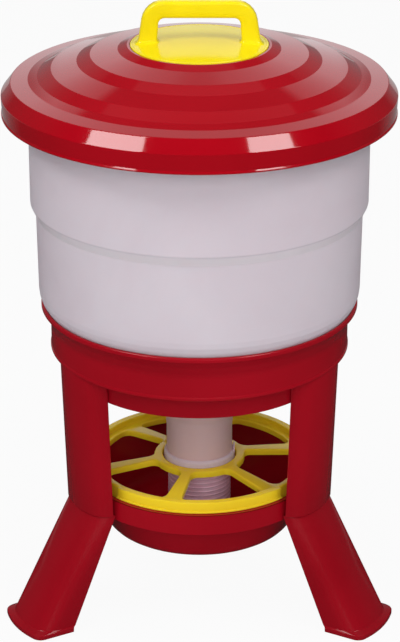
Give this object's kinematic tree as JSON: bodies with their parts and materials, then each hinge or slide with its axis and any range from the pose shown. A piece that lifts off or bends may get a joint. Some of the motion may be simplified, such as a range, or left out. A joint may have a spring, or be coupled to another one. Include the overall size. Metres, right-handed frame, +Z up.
{
  "type": "poultry hopper feeder",
  "caption": "Free-standing poultry feeder: a translucent hopper with a lift-off lid feeds a pan through an adjustable tube and an anti-waste grid, on spread legs.",
  "frame": {"origin": "On the floor, under the centre of the box that holds the whole feeder. The feeder's own vertical axis stands 11.75 mm towards the front of it, at y = -0.01175.", "axes": "+Z is up. -Y is the front, between the two front legs. +X is to the right when looked at from the front. The handle's bar runs along X."},
  "size_m": [0.4266, 0.4412, 0.6777],
  "materials": {
    "red_plastic": "moulded red plastic, satin gloss",
    "lid_red_plastic": "moulded red plastic, high gloss",
    "yellow_plastic": "moulded yellow plastic, satin gloss",
    "translucent_plastic": "milky translucent natural plastic",
    "zinc": "zinc-plated steel"
  },
  "bodies": {
    "stand": {"stand_frame": "red_plastic", "feed_pan": "red_plastic", "leg_front_left": "red_plastic", "leg_front_right": "red_plastic", "leg_rear": "red_plastic", "leg_screw_front_left": "zinc", "leg_screw_front_right": "zinc", "leg_screw_rear": "zinc"},
    "grid": {"feed_grid": "yellow_plastic"},
    "hopper": {"hopper": "translucent_plastic"},
    "collar": {"regulator_ring": "translucent_plastic"},
    "tube": {"metering_tube": "translucent_plastic"},
    "lid": {"lid": "lid_red_plastic", "lid_handle": "yellow_plastic", "handle_screw_left": "zinc", "handle_screw_right": "zinc", "handle_washer_left": "zinc", "handle_washer_right": "zinc"}
  },
  "joints": [
    {"name": "hopper_lift", "type": "slide", "parent": "stand", "child": "hopper", "axis": [0, 0, 1], "range_m": [0, 0.26]},
    {"name": "lid_lift", "type": "slide", "parent": "hopper", "child": "lid", "axis": [0, 0, 1], "range_m": [0, 0.12]},
    {"name": "regulator_turn", "type": "hinge", "parent": "hopper", "child": "collar", "pos_m": [0, -0.01175, 0.155], "axis": [0, 0, 1], "range_deg": [0, 360]},
    {"name": "tube_slide", "type": "slide", "parent": "hopper", "child": "tube", "axis": [0, 0, 1], "range_m": [0, 0.0201]},
    {"name": "grid_lift", "type": "slide", "parent": "stand", "child": "grid", "axis": [0, 0, 1], "range_m": [0, 0.06]}
  ],
  "couplings": [
    {"joint": "tube_slide", "follows": "regulator_turn", "m_per_rad": 0.0031831}
  ]
}
